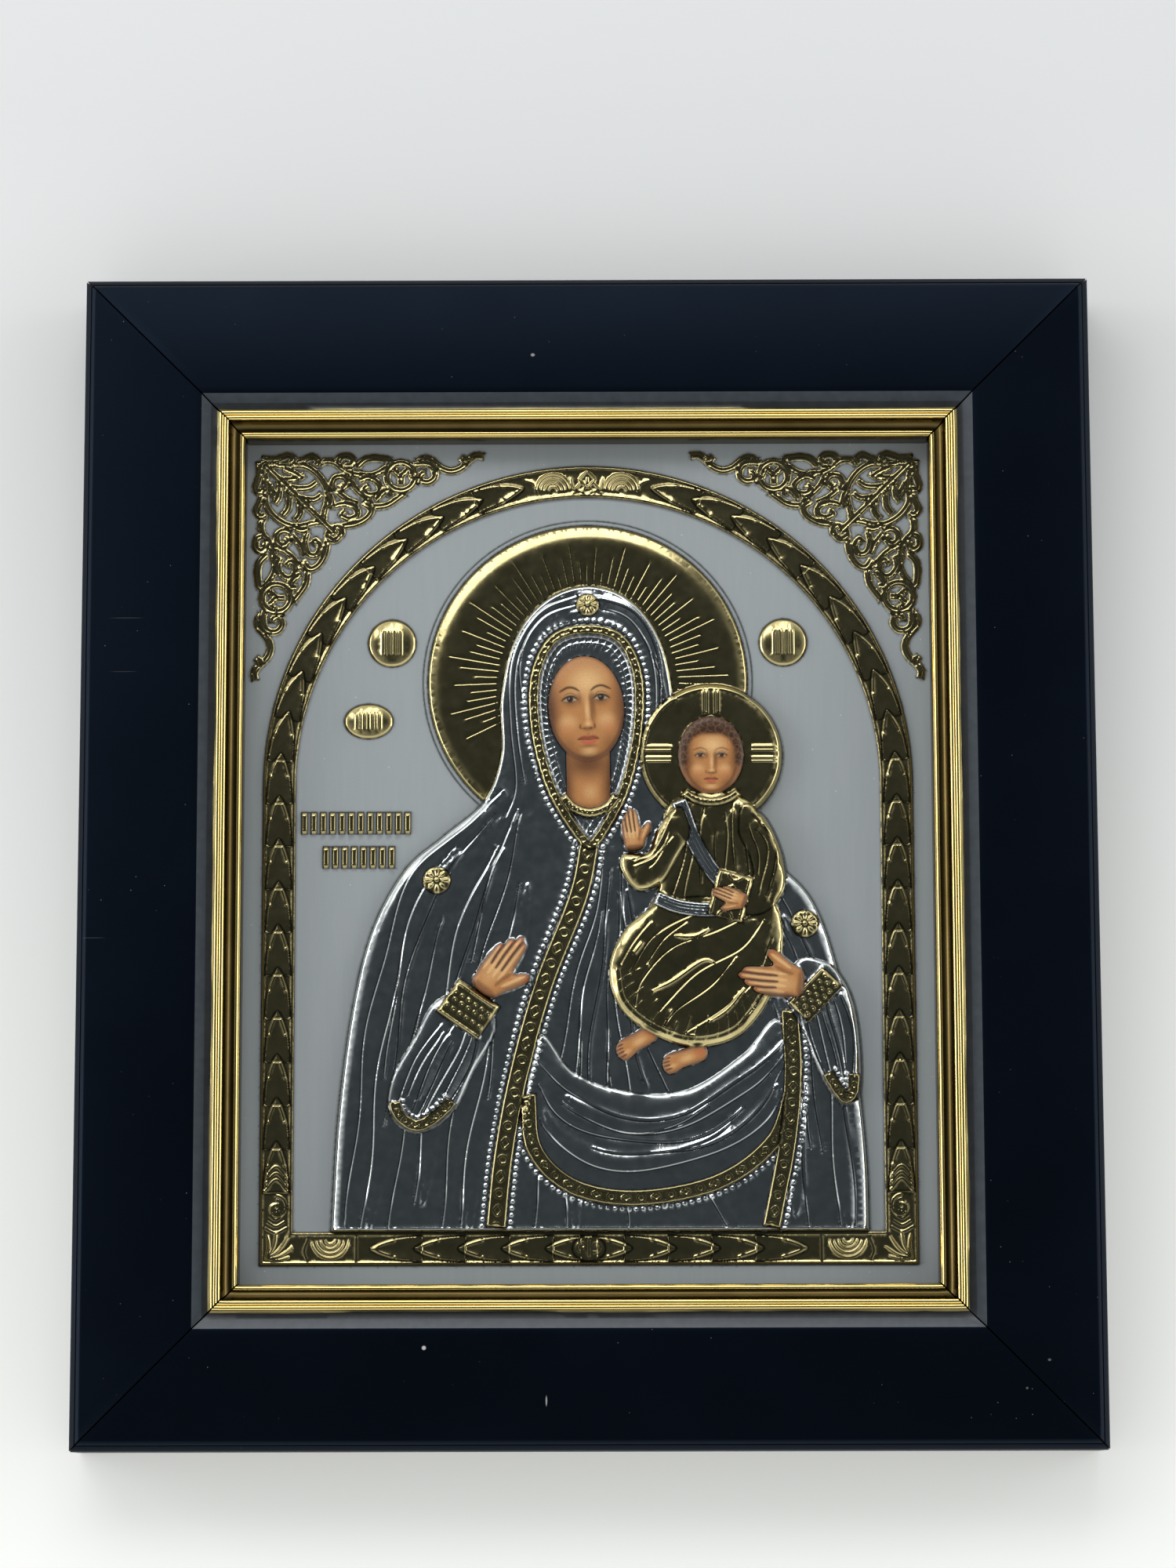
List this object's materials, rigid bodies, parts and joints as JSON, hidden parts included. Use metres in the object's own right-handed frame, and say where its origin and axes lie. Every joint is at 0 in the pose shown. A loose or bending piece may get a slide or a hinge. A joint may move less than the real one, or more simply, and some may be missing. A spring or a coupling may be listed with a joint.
{
  "type": "icon panel",
  "caption": "Embossed foil picture plate with an arched leaf border, in a wide black moulded frame with a gilt sight edge, lying face up.",
  "frame": {"origin": "middle of the back, on the surface that the frame lies on", "axes": "+Z out of the face, +Y towards the top of the picture, +X towards the picture's right"},
  "size_m": [0.205, 0.237, 0.02],
  "materials": {
    "moulding": "black lacquer, with a gilt sight edge",
    "foil": "board under embossed gold, silver and matte grey foil, with printed flesh",
    "board": "bare brown hardboard"
  },
  "bodies": {
    "root": {"frame_rail_top": "moulding", "frame_rail_left": "moulding", "frame_rail_bottom": "moulding", "frame_rail_right": "moulding", "icon_plate": "foil", "backing_board": "board"}
  },
  "joints": []
}
